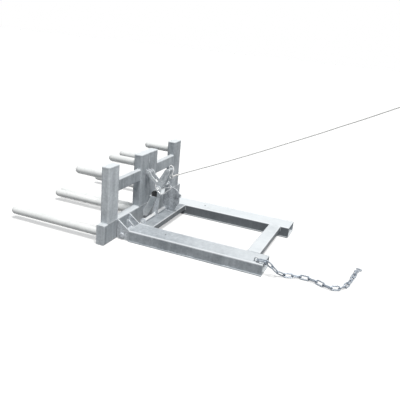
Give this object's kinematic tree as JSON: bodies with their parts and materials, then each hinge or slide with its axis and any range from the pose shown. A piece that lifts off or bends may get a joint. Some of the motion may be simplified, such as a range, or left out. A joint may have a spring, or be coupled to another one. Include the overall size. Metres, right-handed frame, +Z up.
{
  "type": "drum lifter",
  "caption": "Fork-mounted drum lifter in galvanised steel: base frame with fork pockets, hinged head frame with round tines, rope-released latch and safety chain.",
  "frame": {"origin": "on the floor, in the middle of the width and length of the steel frames and tines, without the rope and the chain", "axes": "+X to the lifter's right as its driver sees it, -Y along the tines, +Z up"},
  "size_m": [1.272, 2.6965, 1.2319],
  "materials": {
    "galvanised": "hot-dip galvanised, matt, mottled",
    "galvanised_dull": "hot-dip galvanised, duller and darker",
    "bright_steel": "bright zinc-plated",
    "zinc_chain": "bright zinc-plated round wire",
    "rope_fibre": "laid synthetic fibre rope, matt",
    "rubber_black": "black rubber, matt"
  },
  "bodies": {
    "base": {"bar_lug": "galvanised_dull", "chain_eye": "galvanised", "chain_hook": "zinc_chain", "cheek_far_inner": "galvanised", "cheek_far_outer": "galvanised", "cheek_near_inner": "galvanised", "cheek_near_outer": "galvanised", "cross_bar": "bright_steel", "end_plate_far": "galvanised", "end_plate_near": "galvanised", "front_cross_member": "galvanised", "hinge_pin_far": "bright_steel", "hinge_pin_near": "bright_steel", "latch_pivot_pin": "bright_steel", "latch_stand_far": "galvanised_dull", "latch_stand_near": "galvanised_dull", "pocket_far": "galvanised", "pocket_near": "galvanised", "rear_cross_member": "galvanised", "safety_chain": "zinc_chain"},
    "head": {"bottom_rail": "galvanised", "catch_ear_far": "galvanised", "catch_ear_near": "galvanised", "catch_pin": "galvanised_dull", "centre_cap": "galvanised", "centre_post_far": "galvanised", "centre_post_near": "galvanised", "diagonal_brace": "galvanised", "hinge_lug_far": "galvanised_dull", "hinge_lug_near": "galvanised_dull", "lower_tine_far_inner": "galvanised", "lower_tine_far_outer": "galvanised", "lower_tine_near_inner": "galvanised", "lower_tine_near_outer": "galvanised", "rail_cap_far": "galvanised", "rail_cap_near": "galvanised", "stop_buffer": "rubber_black", "upper_rail_far": "galvanised", "upper_rail_near": "galvanised", "upper_tine_far_inner": "galvanised", "upper_tine_far_outer": "galvanised", "upper_tine_near_inner": "galvanised", "upper_tine_near_outer": "galvanised", "upright_cap_far": "galvanised", "upright_cap_near": "galvanised", "upright_far": "galvanised", "upright_near": "galvanised"},
    "latch": {"latch_lever": "galvanised", "lever_handle": "bright_steel"},
    "rope": {"pull_rope": "rope_fibre", "rope_loop_near": "rope_fibre", "rope_loop_far": "rope_fibre"}
  },
  "joints": [
    {"name": "head_tilt", "type": "hinge", "parent": "base", "child": "head", "pos_m": [0, -0.0775, 0.035], "axis": [1, 0, 0], "range_deg": [0, 90]},
    {"name": "latch_turn", "type": "hinge", "parent": "base", "child": "latch", "pos_m": [0, 0.004, 0.31], "axis": [1, 0, 0], "range_deg": [-25, 0]},
    {"name": "rope_pull", "type": "slide", "parent": "base", "child": "rope", "axis": [0, 0.6144, -0.789], "range_m": [0, 0.0587]}
  ],
  "couplings": [
    {"joint": "rope_pull", "follows": "latch_turn", "m_per_rad": -0.13388}
  ]
}
